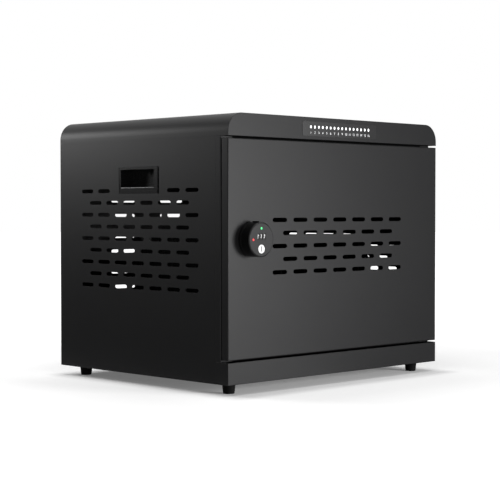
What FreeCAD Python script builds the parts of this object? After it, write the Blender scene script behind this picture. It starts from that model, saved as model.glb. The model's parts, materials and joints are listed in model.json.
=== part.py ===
import FreeCAD, Part
import math
import os

# A sixteen-bay charging cabinet for tablets and small laptops: a folded steel casing with vented walls,
# one full-width door on right-hand hinges, a round combination lock and a row of charge lamps.
# Millimetres. +Z is up, the door faces -Y, and the origin is on the floor under the middle of the outline.

os.makedirs("parts", exist_ok=True)

# Casing
body_width = 540.0
body_depth = 446.0
body_height = 443.4
sheet = 1.2
corner_radius = 31.0
plate_edge_bevel = 0.6
base_flange = 15.0
rear_angle_leg = 15.0
rear_angle_end_gap = 12.0

# Door frame
plinth_height = 36.6
fascia_height = 38.2
door_gap = 3.5
door_seam = 2.5
jamb_width = 26.0
jamb_leg = 12.0
jamb_bend = 2.0
rail_flange = 16.0

# Door
door_thickness = 15.0
door_lip = 12.0
door_edge_round = 2.0
stiffener_width = 40.0
stiffener_brim = 10.0
stiffener_depth = 9.0
stiffener_end_gap = 8.0
stiffener_clearance = 16.0

# Small rounds and the ends of the vent slots are made of a few flats, because there are so many of them
small_round_sides = 16
bearing_sides = 12
slot_end_flats = 3

# Vent slots
vent_height = 7.0
side_vent_length = 33.0
side_vent_pitch = 46.4
side_row_pitch = 20.9
side_vent_columns = 7
side_vent_rows = 9
side_field_from_front = 226.0
side_field_drop = 208.8
door_vent_length = 35.0
door_vent_pitch = 50.0
door_row_pitch = 21.9
door_vent_columns = 7
door_vent_rows = 5
door_field_rise = 3.6
back_vent_length = 58.0
back_vent_height = 6.5
back_column_pitch = 122.0
back_pair_gap = 28.5
back_pair_pitch = 67.5
back_lowest_row = 139.0
back_pairs = 3

# Pocket handles in the side walls
handle_opening_width = 88.0
handle_opening_height = 30.0
handle_front_border = 10.0
handle_rear_border = 5.0
handle_top_border = 4.0
handle_lip = 12.0
handle_lip_round = 2.2
handle_slit = 4.0
handle_wall = 2.0
handle_pocket_depth = 28.0
handle_bezel = 1.2
handle_inset = 0.4
handle_flange = 3.0
handle_fit = 0.2
handle_from_front = 170.0
handle_drop = 130.4
handle_vent_margin = 2.0

# Feet
foot_height = 18.0
foot_top_radius = 11.5
foot_bottom_radius = 9.5
foot_inset = 33.0

# Hinges
hinge_length = 60.0
hinge_from_door_end = 45.0
hinge_leaf_width = 22.0
hinge_leaf = 1.1
hinge_knuckles = 2
hinge_knuckle_radius = 3.4
hinge_side_gap = 0.3
hinge_pin_radius = 1.7
hinge_pin_fit = 0.05
hinge_knuckle_gap = 0.3

# Lock
lock_from_left = 51.5
lock_rise = 15.7
lock_reach = 25.0
knob_radius = 28.5
knob_wall = 2.0
knob_edge = 1.5
knob_web = 2.5
rib_width = 8.0
rib_rise = 1.8
rib_root = 1.0
rib_from_face = 1.2
rib_length = 16.0
face_thickness = 1.5
face_fit = 0.05
collar_thickness = 5.5
knob_gap = 0.3
barrel_radius = 11.0
barrel_end_gap = 1.0
barrel_fit = 0.1
spindle_radius = 8.0
running_fit = 0.05
cam_square = 9.0
cam_thickness = 2.5
cam_width = 20.0
cam_reach = 40.0
cam_clearance = 0.4
cam_fit = 0.1
cam_screw_radius = 2.5
cam_screw_across_flats = 13.0
cam_screw_head = 2.5
cam_screw_length = 10.0
screw_fit = 0.1
lock_nut_across_flats = 30.0
lock_nut_height = 4.0
lock_plate_width = 60.0
lock_plate_height = 90.0
lock_plate_thickness = 1.5
strike_width = 22.0
strike_height = 64.0
strike_thickness = 1.0

# Number wheels, key plug and markers on the lock face
wheel_radius = 7.5
wheel_width = 4.4
wheel_pitch = 7.3
wheel_rise = 5.4
wheel_sink = 0.3
wheel_facets = 10
wheel_bore_radius = 1.55
axle_radius = 1.5
axle_fit = 0.02
window_width = 4.9
window_height = 10.0
cradle_cheek = 1.5
cradle_base = 1.0
cradle_half_height = 4.0
cradle_side_gap = 0.4
plug_radius = 7.0
plug_drop = 15.2
plug_sleeve = 1.8
plug_rear_gap = 0.3
keyway_width = 2.4
keyway_height = 9.0
keyway_depth = 9.0
marker_radius = 2.0
marker_ring = 18.5
marker_fit = 0.05

# Door bumpers
bumper_radius = 6.0
bumper_gap = 0.3
bumper_from_end = 30.0

# Device rack
bay_count = 16
bay_pitch = 30.0
divider_thickness = 2.0
divider_depth = 177.0
divider_height = 181.8
divider_corner = 44.0
divider_from_jamb = 96.0
comb_height = 10.0
comb_width = 14.0
comb_slot_depth = 6.0
comb_fit = 0.1
comb_inset = 25.0
shelf_side_gap = 1.0

# Charging hub on the back wall
hub_width = 172.0
hub_height = 183.0
hub_depth = 34.0
hub_edge = 6.0
hub_lift = 10.0
port_columns = 2
port_rows = 8
port_width = 9.4
port_height = 3.4
port_sink = 2.0
port_column_pitch = 90.0
port_row_pitch = 20.0

# Power supply, mains inlet and switch
supply_width = 260.0
supply_depth = 150.0
supply_height = 38.0
supply_fin_count = 9
supply_fin_pitch = 24.0
supply_fin_width = 10.0
supply_fin_sink = 3.0
mains_height = 27.0
inlet_from_middle = -40.0
inlet_body_width = 27.0
inlet_body_height = 20.0
inlet_bezel_border = 2.5
inlet_bezel = 2.5
inlet_depth = 19.0
inlet_wall = 1.6
inlet_floor = 3.0
inlet_corner_cut = 5.0
inlet_pin_width = 4.0
inlet_pin_thickness = 2.0
inlet_pin_length = 11.0
inlet_pin_spread = 7.0
inlet_pin_rise = 3.0
panel_fit = 0.2
switch_from_middle = 10.0
switch_body_width = 13.0
switch_body_height = 19.4
switch_bezel_border = 1.6
switch_bezel = 2.0
switch_depth = 13.0
switch_wall = 1.4
switch_floor = 2.0
rocker_side_gap = 0.3
rocker_end_gap = 0.9
rocker_tilt = 8.0
rocker_crest = 3.2
rocker_dip = 1.2
rocker_root = 3.0
rocker_pivot_radius = 1.2
rocker_pivot_sink = 1.0

# Charge lamps
lamp_count = 16
lamp_pitch = 10.0
lamp_size = 4.0
lamp_drop = 16.6
lamp_gap = 0.2
window_border = 4.0
overlay_width = 192.0
overlay_height = 25.0
overlay_thickness = 0.6
overlay_corner = 4.0
overlay_drop = 19.9
board_width = 184.0
board_height = 22.0
board_thickness = 1.6
board_spacing = 5.0
spacer_across_flats = 5.0
spacer_inset = 4.0

# Places worked out from the sizes above
half_width = body_width / 2
bottom_z = foot_height
top_z = bottom_z + body_height
front_y = (lock_reach - body_depth) / 2
back_y = front_y + body_depth
inner_x = half_width - sheet
inner_front_y = front_y + sheet
inner_back_y = back_y - sheet
plinth_top = bottom_z + plinth_height
fascia_bottom = top_z - fascia_height
door_bottom = plinth_top + door_gap
door_top = fascia_bottom - door_gap
door_middle = (door_bottom + door_top) / 2
door_field_z = door_middle + door_field_rise
door_back_y = front_y + door_thickness
jamb_y = door_back_y + door_seam
seam_y = jamb_y + jamb_leg
jamb_inner_x = half_width - jamb_width
shelf_top = plinth_top + rail_flange
hinge_x = half_width + hinge_knuckle_radius + hinge_side_gap
hinge_y = door_back_y + door_seam / 2
lock_x = lock_from_left - half_width
lock_z = door_middle + lock_rise
face_y = front_y - lock_reach
collar_y = front_y - collar_thickness
knob_back_y = collar_y - knob_gap
knob_inner_radius = knob_radius - knob_wall
web_y = knob_back_y - knob_web
cam_y = jamb_y + sheet + strike_thickness + cam_clearance
wheel_y = face_y + wheel_sink + wheel_radius
wheel_z = lock_z + wheel_rise
plug_z = lock_z - plug_drop
mains_z = bottom_z + mains_height
rocker_y = back_y + switch_bezel - rocker_dip
along_x = FreeCAD.Vector(1, 0, 0)
along_y = FreeCAD.Vector(0, 1, 0)
along_z = FreeCAD.Vector(0, 0, 1)


def point(x, y, z):
    return FreeCAD.Vector(x, y, z)


def block(x0, x1, y0, y1, z0, z1):
    return Part.makeBox(x1 - x0, y1 - y0, z1 - z0, point(x0, y0, z0))


def rod(radius, start, axis, length):
    return Part.makeCylinder(radius, length, start, axis)


def polygon_prism(points, direction):
    return Part.Face(Part.makePolygon(points + points[:1])).extrude(direction)


def round_corners(sides, radius, centre, axis_u, axis_v):
    corners = []
    for step in range(sides):
        angle = 2 * math.pi * step / sides
        corners.append(centre + axis_u * (radius * math.cos(angle)) + axis_v * (radius * math.sin(angle)))
    return corners


def faceted_rod(sides, radius, centre, axis_u, axis_v, direction):
    return polygon_prism(round_corners(sides, radius, centre, axis_u, axis_v), direction)


def hex_prism(across_flats, centre, axis_u, axis_v, direction):
    return faceted_rod(6, across_flats / math.sqrt(3), centre, axis_u, axis_v, direction)


def bearing_hole(radius, start, axis_u, axis_v, direction):
    # flats that touch the round of this radius
    reach = radius / math.cos(math.pi / bearing_sides)
    return faceted_rod(bearing_sides, reach, start, axis_u, axis_v, direction)


def turned(profile, centre, axis):
    # profile: (radius, distance along the axis) pairs of a closed outline
    across = along_z if axis.isEqual(along_y, 0.001) else along_x
    points = [centre + across * radius + axis * distance for radius, distance in profile]
    return Part.Face(Part.makePolygon(points + points[:1])).revolve(centre, axis, 360)


def slot_cutter(centre, along, up, through, length, height):
    straight = (length - height) / 2
    points = []
    for side in (1, -1):
        for step in range(slot_end_flats + 1):
            angle = math.radians(180 * step / slot_end_flats - 90)
            u = side * (straight + height / 2 * math.cos(angle))
            v = side * height / 2 * math.sin(angle)
            points.append(centre + along * u + up * v)
    return polygon_prism(points, through)


def staggered_rows(centre_u, centre_v, columns, rows, pitch, row_pitch):
    # every second row is one slot shorter and sits between the slots of its neighbours
    places = []
    for row in range(rows):
        count = columns - row % 2
        v = centre_v + ((rows - 1) / 2 - row) * row_pitch
        for column in range(count):
            places.append((centre_u + (column - (count - 1) / 2) * pitch, v))
    return places


def casing_face(inset, low_z, y):
    # front outline of the casing, with its round top corners
    radius = corner_radius - inset
    side = half_width - inset
    top = top_z - inset
    bow = radius * (1 - math.sqrt(0.5))
    edges = [
        Part.LineSegment(point(-side, y, low_z), point(-side, y, top - radius)),
        Part.Arc(
            point(-side, y, top - radius), point(-side + bow, y, top - bow), point(-side + radius, y, top)
        ),
        Part.LineSegment(point(-side + radius, y, top), point(side - radius, y, top)),
        Part.Arc(point(side - radius, y, top), point(side - bow, y, top - bow), point(side, y, top - radius)),
        Part.LineSegment(point(side, y, top - radius), point(side, y, low_z)),
        Part.LineSegment(point(side, y, low_z), point(-side, y, low_z)),
    ]
    return Part.Face(Part.Wire([edge.toShape() for edge in edges]))


def edges_at_y(shape, y):
    return [edge for edge in shape.Edges if all(abs(v.Point.y - y) < 0.001 for v in edge.Vertexes)]


def upright_edges(shape):
    return [edge for edge in shape.Edges if abs(edge.tangentAt(edge.FirstParameter).z) > 0.999]


def edges_along_y(shape):
    return [edge for edge in shape.Edges if abs(edge.tangentAt(edge.FirstParameter).y) > 0.999]


def mirrored(shape):
    return shape.mirror(point(0, 0, 0), along_x)


def save(name, *solids):
    shape = solids[0] if len(solids) == 1 else Part.makeCompound(list(solids))
    shape.exportStep("parts/" + name + ".step")


# Casing

def make_roof_shell():
    depth = inner_back_y - inner_front_y
    outer = casing_face(0, fascia_bottom, inner_front_y).extrude(along_y * depth)
    hollow = casing_face(sheet, fascia_bottom - sheet, inner_front_y).extrude(along_y * depth)
    return outer.cut(hollow)


def handle_outline():
    y0 = front_y + handle_from_front
    width = handle_slit + handle_front_border + handle_opening_width + handle_rear_border
    z0 = top_z - handle_drop
    height = handle_lip + handle_opening_height + handle_top_border
    return y0, y0 + width, z0, z0 + height


def make_left_side_panel():
    y0, y1, z0, z1 = handle_outline()
    outside = -half_width - sheet
    cutters = [block(outside, -half_width + 2 * sheet, y0, y1, z0, z1)]
    centre_y = front_y + side_field_from_front
    centre_z = top_z - side_field_drop
    reach_y = side_vent_length / 2 + handle_vent_margin
    reach_z = vent_height / 2 + handle_vent_margin
    for y, z in staggered_rows(
        centre_y, centre_z, side_vent_columns, side_vent_rows, side_vent_pitch, side_row_pitch
    ):
        if y0 - reach_y < y < y1 + reach_y and z0 - reach_z < z < z1 + reach_z:
            continue
        cutters.append(
            slot_cutter(
                point(outside, y, z), along_y, along_z, along_x * 3 * sheet, side_vent_length, vent_height
            )
        )
    panel = block(-half_width, -inner_x, seam_y, inner_back_y, bottom_z, fascia_bottom)
    return panel.cut(Part.makeCompound(cutters))


def make_left_jamb():
    # folded strip: flange behind the door, bend, and a leg in the plane of the side wall
    x0 = -half_width
    bend = jamb_bend
    inner = jamb_bend - sheet
    bow = bend * (1 - math.sqrt(0.5))
    inner_bow = inner * (1 - math.sqrt(0.5))
    z = plinth_top
    corner = point(x0 + sheet, jamb_y + sheet, z)
    edges = [
        Part.LineSegment(point(-jamb_inner_x, jamb_y, z), point(x0 + bend, jamb_y, z)),
        Part.Arc(point(x0 + bend, jamb_y, z), point(x0 + bow, jamb_y + bow, z), point(x0, jamb_y + bend, z)),
        Part.LineSegment(point(x0, jamb_y + bend, z), point(x0, seam_y, z)),
        Part.LineSegment(point(x0, seam_y, z), point(x0 + sheet, seam_y, z)),
        Part.LineSegment(point(x0 + sheet, seam_y, z), corner + along_y * inner),
        Part.Arc(corner + along_y * inner, corner + point(inner_bow, inner_bow, 0), corner + along_x * inner),
        Part.LineSegment(corner + along_x * inner, point(-jamb_inner_x, jamb_y + sheet, z)),
        Part.LineSegment(point(-jamb_inner_x, jamb_y + sheet, z), point(-jamb_inner_x, jamb_y, z)),
    ]
    face = Part.Face(Part.Wire([edge.toShape() for edge in edges]))
    return face.extrude(along_z * (fascia_bottom - plinth_top))


def make_upper_jamb():
    shelf = block(-inner_x, inner_x, inner_front_y, jamb_y + sheet, fascia_bottom, fascia_bottom + sheet)
    low = fascia_bottom - rail_flange
    flange = block(-jamb_inner_x, jamb_inner_x, jamb_y, jamb_y + sheet, low, fascia_bottom)
    return shelf.fuse(flange).removeSplitter()


def make_lower_jamb():
    shelf = block(-inner_x, inner_x, inner_front_y, jamb_y + sheet, plinth_top - sheet, plinth_top)
    flange = block(-jamb_inner_x, jamb_inner_x, jamb_y, jamb_y + sheet, plinth_top, shelf_top)
    return shelf.fuse(flange).removeSplitter()


def lamp_window():
    half = (lamp_count - 1) * lamp_pitch / 2 + lamp_size / 2 + window_border
    z = top_z - lamp_drop
    rise = lamp_size / 2 + window_border / 2
    return block(-half, half, front_y - sheet, front_y + 2 * sheet, z - rise, z + rise)


def make_top_fascia():
    plate = casing_face(0, fascia_bottom, front_y).extrude(along_y * sheet)
    plate = plate.makeChamfer(plate_edge_bevel, edges_at_y(plate, front_y))
    return plate.cut(lamp_window())


def make_bottom_plinth():
    outer = block(-half_width, half_width, front_y, seam_y, bottom_z, plinth_top)
    outer = outer.makeChamfer(plate_edge_bevel, edges_at_y(outer, front_y))
    hollow = block(-inner_x, inner_x, inner_front_y, seam_y, bottom_z, plinth_top)
    return outer.cut(hollow)


def foot_places():
    x = half_width - foot_inset
    return [(sx, y) for y in (front_y + foot_inset, back_y - foot_inset) for sx in (-x, x)]


def make_base_pan():
    floor = block(-inner_x, inner_x, inner_front_y, inner_back_y, bottom_z, bottom_z + sheet)
    for x0 in (-inner_x, inner_x - sheet):
        wall = block(x0, x0 + sheet, inner_front_y, inner_back_y, bottom_z, bottom_z + base_flange)
        floor = floor.fuse(wall)
    return floor.removeSplitter()


def back_vent_places():
    # the outer columns have every pair of slots; the charging hub leaves the middle column only the top pair
    places = []
    for column in (-1, 0, 1):
        for pair in range(back_pairs):
            if column == 0 and pair < back_pairs - 1:
                continue
            z = bottom_z + back_lowest_row + pair * back_pair_pitch
            for rise in (0, back_pair_gap):
                places.append((column * back_column_pitch, z + rise))
    return places


def mains_cutouts():
    cuts = []
    for x, width, height in (
        (inlet_from_middle, inlet_body_width, inlet_body_height),
        (switch_from_middle, switch_body_width, switch_body_height),
    ):
        half = width / 2 + panel_fit
        rise = height / 2 + panel_fit
        y0 = inner_back_y - sheet
        cuts.append(block(x - half, x + half, y0, y0 + 3 * sheet, mains_z - rise, mains_z + rise))
    return cuts


def make_back_panel():
    plate = casing_face(0, bottom_z, inner_back_y).extrude(along_y * sheet)
    plate = plate.makeChamfer(plate_edge_bevel, edges_at_y(plate, back_y))
    y0 = inner_back_y - sheet
    cutters = mains_cutouts()
    for x, z in back_vent_places():
        cutters.append(
            slot_cutter(
                point(x, y0, z), along_x, along_z, along_y * 3 * sheet, back_vent_length, back_vent_height
            )
        )
    return plate.cut(Part.makeCompound(cutters))


def make_left_rear_angle():
    x0 = -inner_x
    z0 = shelf_top + rear_angle_end_gap
    z1 = fascia_bottom - rear_angle_end_gap
    side = block(x0, x0 + sheet, inner_back_y - rear_angle_leg, inner_back_y, z0, z1)
    rear = block(x0, x0 + rear_angle_leg, inner_back_y - sheet, inner_back_y, z0, z1)
    return side.fuse(rear).removeSplitter()


# Pocket handles and feet

def make_left_handle():
    y0, y1, z0, z1 = handle_outline()
    y0 = y0 + handle_slit
    y1 = y1 - handle_fit
    z0 = z0 + handle_fit
    z1 = z1 - handle_fit
    open_y0 = y0 + handle_front_border
    open_y1 = open_y0 + handle_opening_width
    open_z0 = top_z - handle_drop + handle_lip
    open_z1 = open_z0 + handle_opening_height
    x0 = -half_width + handle_inset
    pocket_x = -half_width + handle_pocket_depth
    wall = handle_wall
    bezel = block(x0, x0 + handle_bezel, y0, y1, z0, z1)
    rim = handle_fit + handle_flange
    flange = block(-inner_x, -inner_x + handle_bezel, y0, y1 + rim, z0 - rim, z1 + rim)
    shell = block(x0, pocket_x + wall, open_y0 - wall, open_y1 + wall, open_z0 - wall, open_z1 + wall)
    body = bezel.fuse([flange, shell])
    hollow = block(x0 - wall, pocket_x, open_y0, open_y1, open_z0, open_z1)
    body = body.cut(hollow).removeSplitter()
    lip = [
        edge
        for edge in body.Edges
        if all(abs(v.Point.x - x0) < 0.001 and abs(v.Point.z - open_z0) < 0.001 for v in edge.Vertexes)
    ]
    return body.makeFillet(handle_lip_round, lip)


def make_feet():
    feet = []
    for x, y in foot_places():
        sole = round_corners(small_round_sides, foot_bottom_radius, point(x, y, 0), along_x, along_y)
        head = round_corners(small_round_sides, foot_top_radius, point(x, y, bottom_z), along_x, along_y)
        rings = [Part.makePolygon(corners + corners[:1]) for corners in (sole, head)]
        feet.append(Part.makeLoft(rings, True, True))
    return feet


# Door and hinges

def door_vent_cutters():
    cutters = []
    for x, z in staggered_rows(
        0, door_field_z, door_vent_columns, door_vent_rows, door_vent_pitch, door_row_pitch
    ):
        cutters.append(
            slot_cutter(
                point(x, front_y - sheet, z),
                along_x,
                along_z,
                along_y * 3 * sheet,
                door_vent_length,
                vent_height,
            )
        )
    return cutters


def barrel_hole():
    start = point(lock_x, front_y - sheet, lock_z)
    return rod(barrel_radius + barrel_fit, start, along_y, door_thickness)


def make_door_panel():
    pan = block(-half_width, half_width, front_y, door_back_y, door_bottom, door_top)
    pan = pan.makeFillet(door_edge_round, edges_at_y(pan, front_y))
    hollow = block(
        -inner_x, inner_x, inner_front_y, door_back_y - sheet, door_bottom + sheet, door_top - sheet
    )
    mouth = block(
        -half_width + door_lip,
        half_width - door_lip,
        inner_front_y,
        door_back_y,
        door_bottom + door_lip,
        door_top - door_lip,
    )
    pan = pan.cut(hollow).cut(mouth)
    return pan.cut(Part.makeCompound(door_vent_cutters() + [barrel_hole()]))


def make_door_stiffeners():
    # hat channels across the door, above and below the vents
    field = (door_vent_rows - 1) / 2 * door_row_pitch + vent_height / 2 + stiffener_clearance
    half = -lock_x - lock_plate_width / 2 - stiffener_end_gap
    channels = []
    for side in (-1, 1):
        middle = door_field_z + side * (field + stiffener_width / 2)
        low = middle - stiffener_width / 2
        high = middle + stiffener_width / 2
        brim = block(-half, half, inner_front_y, inner_front_y + sheet, low, high)
        crown_low = low + stiffener_brim
        crown_high = high - stiffener_brim
        crown_y = inner_front_y + stiffener_depth
        crown = block(-half, half, inner_front_y, crown_y, crown_low, crown_high)
        hollow = block(-half, half, inner_front_y, crown_y - sheet, crown_low + sheet, crown_high - sheet)
        channels.append(brim.fuse(crown).cut(hollow).removeSplitter())
    return channels


def make_lock_plate():
    x0 = lock_x - lock_plate_width / 2
    z0 = lock_z - lock_plate_height / 2
    y1 = inner_front_y + lock_plate_thickness
    plate = block(x0, x0 + lock_plate_width, inner_front_y, y1, z0, z0 + lock_plate_height)
    return plate.cut(barrel_hole())


def hinge_low(upper):
    if upper:
        return door_top - hinge_from_door_end - hinge_length
    return door_bottom + hinge_from_door_end


def knuckle_spans(low, parity):
    step = hinge_length / hinge_knuckles
    half_gap = hinge_knuckle_gap / 2
    spans = []
    for index in range(hinge_knuckles):
        if index % 2 == parity:
            start = low + index * step + (half_gap if index > 0 else 0)
            end = low + (index + 1) * step - (half_gap if index < hinge_knuckles - 1 else 0)
            spans.append((start, end))
    return spans


def make_hinge_leaf(upper, parity, y0):
    low = hinge_low(upper)
    x0 = half_width - hinge_leaf_width
    leaf = block(x0, half_width, y0, y0 + hinge_leaf, low, low + hinge_length)
    for start, end in knuckle_spans(low, parity):
        tab = block(half_width - hinge_leaf, hinge_x, y0, y0 + hinge_leaf, start, end)
        barrel = rod(hinge_knuckle_radius, point(hinge_x, hinge_y, start), along_z, end - start)
        leaf = leaf.fuse([tab, barrel])
    start = point(hinge_x, hinge_y, low)
    bore = bearing_hole(hinge_pin_radius + hinge_pin_fit, start, along_x, along_y, along_z * hinge_length)
    return leaf.removeSplitter().cut(bore)


def make_hinge_pin(upper):
    return rod(hinge_pin_radius, point(hinge_x, hinge_y, hinge_low(upper)), along_z, hinge_length)


def make_strike_plate():
    x1 = -jamb_inner_x
    y0 = jamb_y + sheet
    z0 = lock_z - strike_height / 2
    return block(x1 - strike_width, x1, y0, y0 + strike_thickness, z0, z0 + strike_height)


def make_door_bumpers():
    x = -half_width + jamb_bend + (jamb_width - jamb_bend) / 2
    thickness = door_seam - bumper_gap
    return [
        faceted_rod(
            small_round_sides,
            bumper_radius,
            point(x, jamb_y - thickness, z),
            along_x,
            along_z,
            along_y * thickness,
        )
        for z in (door_bottom + bumper_from_end, door_top - bumper_from_end)
    ]


# Lock

def make_lock_collar():
    barrel_end = door_thickness - barrel_end_gap
    profile = [
        (spindle_radius + running_fit, -collar_thickness),
        (knob_radius, -collar_thickness),
        (knob_radius, 0),
        (barrel_radius, 0),
        (barrel_radius, barrel_end),
        (spindle_radius + running_fit, barrel_end),
    ]
    return turned(profile, point(lock_x, front_y, lock_z), along_y)


def make_lock_nut():
    start = point(lock_x, inner_front_y + lock_plate_thickness, lock_z)
    nut = hex_prism(lock_nut_across_flats, start, along_x, along_z, along_y * lock_nut_height)
    return nut.cut(rod(barrel_radius + barrel_fit, start, along_y, lock_nut_height))


def make_knob_shell():
    depth = knob_back_y - face_y
    profile = [
        (0, depth - knob_web),
        (knob_inner_radius, depth - knob_web),
        (knob_inner_radius, 0),
        (knob_radius - knob_edge, 0),
        (knob_radius, knob_edge),
        (knob_radius, depth),
        (0, depth),
    ]
    shell = turned(profile, point(lock_x, face_y, lock_z), along_y)
    start = point(lock_x, face_y + face_thickness, plug_z)
    sleeve_depth = depth - knob_web - face_thickness
    sleeve = rod(plug_radius + running_fit + plug_sleeve, start, along_y, sleeve_depth)
    bore = rod(plug_radius + running_fit, start, along_y, sleeve_depth)
    y0 = face_y + rib_from_face
    rib_low = lock_z + knob_radius - rib_root
    half = rib_width / 2
    rib = block(
        lock_x - half, lock_x + half, y0, y0 + rib_length, rib_low, rib_low + rib_root + rib_rise
    )
    return shell.fuse([sleeve, rib]).removeSplitter().cut(bore)


def marker_places():
    # green at the top, red to the left while the lock is open
    return point(lock_x, face_y, lock_z + marker_ring), point(lock_x - marker_ring, face_y, lock_z)


def marker_disc(radius, place):
    return faceted_rod(small_round_sides, radius, place, along_x, along_z, along_y * face_thickness)


def wheel_places():
    return [lock_x + (index - 1) * wheel_pitch for index in range(3)]


def make_knob_face():
    disc = rod(knob_inner_radius - face_fit, point(lock_x, face_y, lock_z), along_y, face_thickness)
    cutters = [rod(plug_radius + running_fit, point(lock_x, face_y, plug_z), along_y, face_thickness)]
    for x in wheel_places():
        half = window_width / 2
        rise = window_height / 2
        window = (x - half, x + half, face_y, face_y + face_thickness, wheel_z - rise, wheel_z + rise)
        cutters.append(block(*window))
    for place in marker_places():
        cutters.append(marker_disc(marker_radius + marker_fit, place))
    return disc.cut(Part.makeCompound(cutters))


def axle_half_length():
    return wheel_pitch + wheel_width / 2 + cradle_side_gap + cradle_cheek


def make_wheel_cradle():
    half = axle_half_length()
    y0 = wheel_y - cradle_half_height
    low = wheel_z - cradle_half_height
    high = wheel_z + cradle_half_height
    cradle = block(lock_x - half, lock_x + half, web_y - cradle_base, web_y, low, high)
    for x0 in (lock_x - half, lock_x + half - cradle_cheek):
        cradle = cradle.fuse(block(x0, x0 + cradle_cheek, y0, web_y, low, high))
    start = point(lock_x - half, wheel_y, wheel_z)
    hole = bearing_hole(axle_radius + axle_fit, start, along_y, along_z, along_x * (2 * half))
    return cradle.removeSplitter().cut(hole)


def make_wheel_axle():
    half = axle_half_length()
    return rod(axle_radius, point(lock_x - half, wheel_y, wheel_z), along_x, 2 * half)


def make_number_wheel(x):
    # a ten-sided drum, one flat for each number, turned so that a flat faces the window
    x0 = x - wheel_width / 2
    corners = []
    for step in range(wheel_facets):
        angle = 2 * math.pi * (step + 0.5) / wheel_facets
        rise = wheel_radius * math.sin(angle)
        corners.append(point(x0, wheel_y + wheel_radius * math.cos(angle), wheel_z + rise))
    drum = polygon_prism(corners, along_x * wheel_width)
    return drum.cut(rod(wheel_bore_radius, point(x0, wheel_y, wheel_z), along_x, wheel_width))


def cam_screw_shank(radius):
    start = point(lock_x, cam_y + cam_thickness - cam_screw_length, lock_z)
    return faceted_rod(small_round_sides, radius, start, along_x, along_z, along_y * cam_screw_length)


def make_lock_spindle():
    length = cam_y - knob_back_y
    shaft = rod(spindle_radius, point(lock_x, knob_back_y, lock_z), along_y, length)
    half = cam_square / 2
    tang = block(lock_x - half, lock_x + half, cam_y, cam_y + cam_thickness, lock_z - half, lock_z + half)
    hole = cam_screw_shank(cam_screw_radius + screw_fit)
    return shaft.fuse(tang).removeSplitter().cut(hole)


def make_lock_cam():
    # while the lock is open the cam hangs down, clear of the jamb
    half = cam_width / 2
    y1 = cam_y + cam_thickness
    tongue = block(lock_x - half, lock_x + half, cam_y, y1, lock_z - cam_reach, lock_z)
    hub = rod(half, point(lock_x, cam_y, lock_z), along_y, cam_thickness)
    square = cam_square / 2 + cam_fit
    hole = block(lock_x - square, lock_x + square, cam_y, y1, lock_z - square, lock_z + square)
    return tongue.fuse(hub).removeSplitter().cut(hole)


def make_cam_screw():
    seat = point(lock_x, cam_y + cam_thickness, lock_z)
    head = hex_prism(cam_screw_across_flats, seat, along_x, along_z, along_y * cam_screw_head)
    return cam_screw_shank(cam_screw_radius).fuse(head)


def make_key_plug():
    length = web_y - face_y - plug_rear_gap
    plug = rod(plug_radius, point(lock_x, face_y, plug_z), along_y, length)
    half = keyway_width / 2
    rise = keyway_height / 2
    keyway = block(lock_x - half, lock_x + half, face_y, face_y + keyway_depth, plug_z - rise, plug_z + rise)
    return plug.cut(keyway)


# Device rack

def divider_places():
    return [(index - bay_count / 2) * bay_pitch for index in range(1, bay_count)]


def divider_front():
    return jamb_y + divider_from_jamb


def make_floor_shelf():
    side = inner_x - sheet - shelf_side_gap
    y0 = jamb_y + sheet
    y1 = inner_back_y
    top = block(-side, side, y0, y1, shelf_top - sheet, shelf_top)
    for x0 in (-side, side - sheet):
        top = top.fuse(block(x0, x0 + sheet, y0, y1, bottom_z + sheet, shelf_top))
    return top.removeSplitter()


def make_comb(y_middle):
    x = (bay_count / 2) * bay_pitch
    y0 = y_middle - comb_width / 2
    bar = block(-x, x, y0, y0 + comb_width, shelf_top, shelf_top + comb_height)
    half = divider_thickness / 2 + comb_fit
    low = shelf_top + comb_height - comb_slot_depth
    cutters = [
        block(place - half, place + half, y0, y0 + comb_width, low, shelf_top + comb_height)
        for place in divider_places()
    ]
    return bar.cut(Part.makeCompound(cutters))


def make_dividers():
    y0 = divider_front()
    y1 = y0 + divider_depth
    z0 = shelf_top + comb_height - comb_slot_depth
    z1 = z0 + divider_height
    plates = []
    for x in divider_places():
        x0 = x - divider_thickness / 2
        corners = [
            point(x0, y0, z0),
            point(x0, y1, z0),
            point(x0, y1, z1 - divider_corner),
            point(x0, y1 - divider_corner, z1),
            point(x0, y0 + divider_corner, z1),
            point(x0, y0, z1 - divider_corner),
        ]
        plates.append(polygon_prism(corners, along_x * divider_thickness))
    return plates


def make_charging_hub():
    half = hub_width / 2
    y0 = inner_back_y - hub_depth
    z0 = shelf_top + hub_lift
    box = block(-half, half, y0, inner_back_y, z0, z0 + hub_height)
    front_uprights = [edge for edge in upright_edges(box) if abs(edge.Vertexes[0].Point.y - y0) < 0.001]
    box = box.makeFillet(hub_edge, front_uprights)
    ports = []
    for column in range(port_columns):
        x = (column - (port_columns - 1) / 2) * port_column_pitch
        for row in range(port_rows):
            z = z0 + hub_height / 2 + (row - (port_rows - 1) / 2) * port_row_pitch
            ports.append(
                block(
                    x - port_width / 2,
                    x + port_width / 2,
                    y0,
                    y0 + port_sink,
                    z - port_height / 2,
                    z + port_height / 2,
                )
            )
    return box.cut(Part.makeCompound(ports))


def make_power_supply():
    half = supply_width / 2
    y0 = (jamb_y + inner_back_y - supply_depth) / 2
    z0 = bottom_z + sheet
    z1 = z0 + supply_height
    box = block(-half, half, y0, y0 + supply_depth, z0, z1)
    grooves = []
    for index in range(supply_fin_count):
        x = (index - (supply_fin_count - 1) / 2) * supply_fin_pitch
        low = z1 - supply_fin_sink
        grooves.append(
            block(x - supply_fin_width / 2, x + supply_fin_width / 2, y0, y0 + supply_depth, low, z1)
        )
    return box.cut(Part.makeCompound(grooves))


# Mains inlet and switch

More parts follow.
